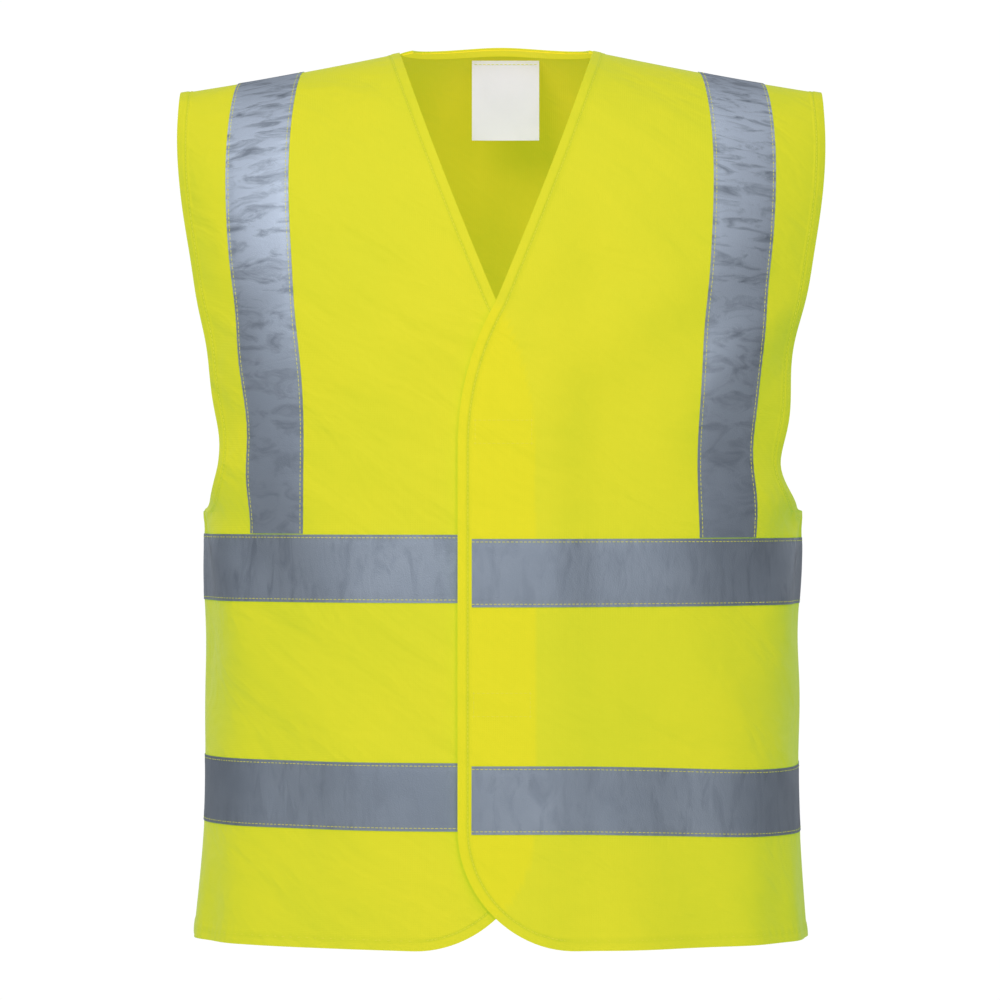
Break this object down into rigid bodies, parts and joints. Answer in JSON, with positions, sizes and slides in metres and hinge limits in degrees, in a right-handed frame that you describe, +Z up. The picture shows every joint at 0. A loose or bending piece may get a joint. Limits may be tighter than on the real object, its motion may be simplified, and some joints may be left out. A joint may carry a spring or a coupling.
{
  "type": "high visibility vest",
  "caption": "Sleeveless fluorescent knit safety vest with reflective waist bands and shoulder braces, V neck, lapped front and hook and loop closure.",
  "frame": {"origin": "middle of the shoulders, between the two shoulder seams, where the wearer or a hanger carries the vest", "axes": "+Z up, the front faces -Y, +X is the wearer's left"},
  "size_m": [0.4904, 0.2641, 0.6797],
  "materials": {
    "yellow_knit": "matte fluorescent polyester knit",
    "reflective_tape": "satin grey retroreflective tape",
    "hook_and_loop": "matte nylon pile",
    "label_weave": "matte woven satin"
  },
  "bodies": {
    "vest_body": {"back_bottom_hem": "yellow_knit", "back_neck_hem": "yellow_knit", "back_panel": "yellow_knit", "bottom_hem_left_side": "yellow_knit", "bottom_hem_right_side": "yellow_knit", "left_armhole_hem": "yellow_knit", "left_brace_tape": "reflective_tape", "left_side_panel": "yellow_knit", "lower_tape_back": "reflective_tape", "lower_tape_left_side": "reflective_tape", "lower_tape_right_side": "reflective_tape", "neckline_hem_left": "yellow_knit", "neckline_hem_right": "yellow_knit", "right_armhole_hem": "yellow_knit", "right_brace_tape": "reflective_tape", "right_side_panel": "yellow_knit", "shoulder_seam_left": "yellow_knit", "shoulder_seam_right": "yellow_knit", "side_seam_left": "yellow_knit", "side_seam_right": "yellow_knit", "upper_tape_back": "reflective_tape", "upper_tape_left_side": "reflective_tape", "upper_tape_right_side": "reflective_tape"},
    "left_front": {"bottom_hem_left_front": "yellow_knit", "front_hem_left": "yellow_knit", "left_front_panel": "yellow_knit", "lower_hook_patch": "hook_and_loop", "lower_tape_left_front": "reflective_tape", "upper_hook_patch": "hook_and_loop", "upper_tape_left_front": "reflective_tape"},
    "right_front": {"bottom_hem_right_front": "yellow_knit", "front_hem_right": "yellow_knit", "lower_loop_patch": "hook_and_loop", "lower_tape_right_front": "reflective_tape", "right_front_panel": "yellow_knit", "upper_loop_patch": "hook_and_loop", "upper_tape_right_front": "reflective_tape"},
    "label": {"neck_label": "label_weave"}
  },
  "joints": [
    {"name": "left_front_opening", "type": "hinge", "parent": "vest_body", "child": "left_front", "pos_m": [0.1465, -0.11727, -0.655], "axis": [-0.2186, -0.0448, 0.9748], "range_deg": [0, 110]},
    {"name": "right_front_opening", "type": "hinge", "parent": "vest_body", "child": "right_front", "pos_m": [-0.1535, -0.11937, -0.655], "axis": [0.2187, -0.0283, 0.9754], "range_deg": [-44, 0]},
    {"name": "label_swing", "type": "hinge", "parent": "vest_body", "child": "label", "pos_m": [0.0035, 0.03336, 0.0162], "axis": [-1, 0, 0], "range_deg": [0, 80]}
  ],
  "couplings": [
    {"joint": "right_front_opening", "follows": "left_front_opening", "ratio": -0.4}
  ]
}
